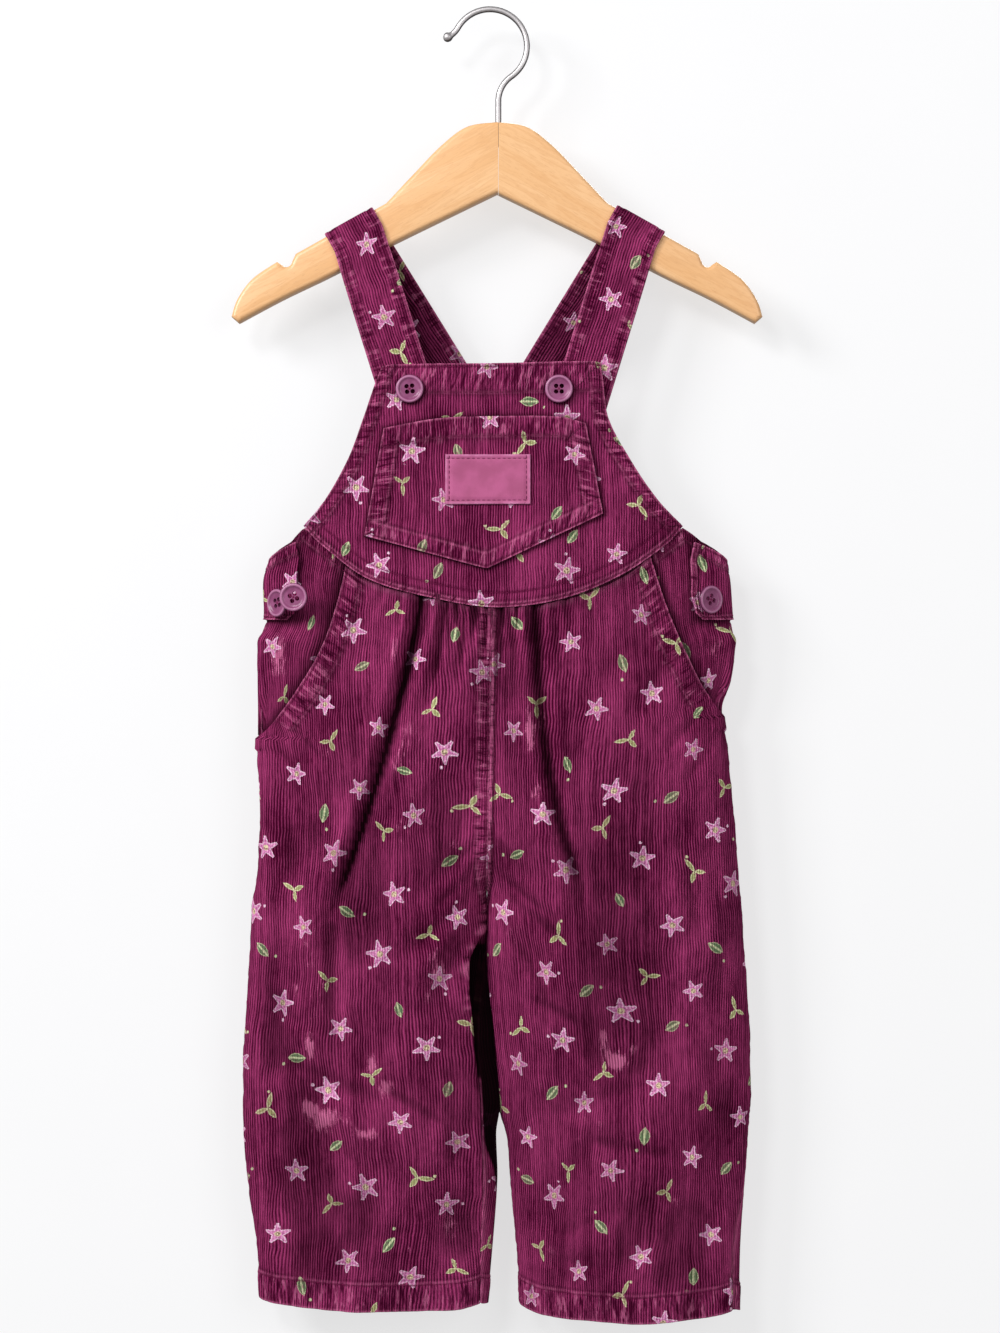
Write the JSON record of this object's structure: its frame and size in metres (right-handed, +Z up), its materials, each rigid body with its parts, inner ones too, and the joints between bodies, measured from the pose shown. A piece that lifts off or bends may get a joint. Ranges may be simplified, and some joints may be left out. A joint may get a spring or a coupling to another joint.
{
  "type": "bib overalls on a hanger",
  "caption": "Small child's bib overalls of printed corduroy with crossed straps and a bib pocket, hanging flat from a notched wooden hanger with a wire hook.",
  "frame": {"origin": "the hanging point, where a rail touches the inside of the hook's bend at its top", "axes": "+X to the viewer's right as seen from the front, +Y to the back (the bib faces -Y), +Z up"},
  "size_m": [0.302, 0.0463, 0.747],
  "materials": {
    "corduroy": "fine-wale printed corduroy",
    "label_cloth": "woven, bare",
    "button_plastic": "satin",
    "beech_wood": "varnished",
    "hook_steel": "polished"
  },
  "bodies": {
    "root": {"bib_front": "corduroy", "bib_pocket": "corduroy", "label_patch": "label_cloth", "front_leg_left": "corduroy", "front_leg_right": "corduroy", "hip_panel_left": "corduroy", "hip_panel_right": "corduroy", "back_leg_left": "corduroy", "back_leg_right": "corduroy", "waist_tab_left": "corduroy", "waist_tab_right": "corduroy", "strap_left": "corduroy", "strap_right": "corduroy", "back_yoke": "corduroy", "button_bib_left": "button_plastic", "button_bib_right": "button_plastic", "button_side_left_front": "button_plastic", "button_side_left_back": "button_plastic", "button_side_right": "button_plastic", "hanger_arm_left": "beech_wood", "hanger_arm_right": "beech_wood", "hanger_hook": "hook_steel"}
  },
  "joints": []
}
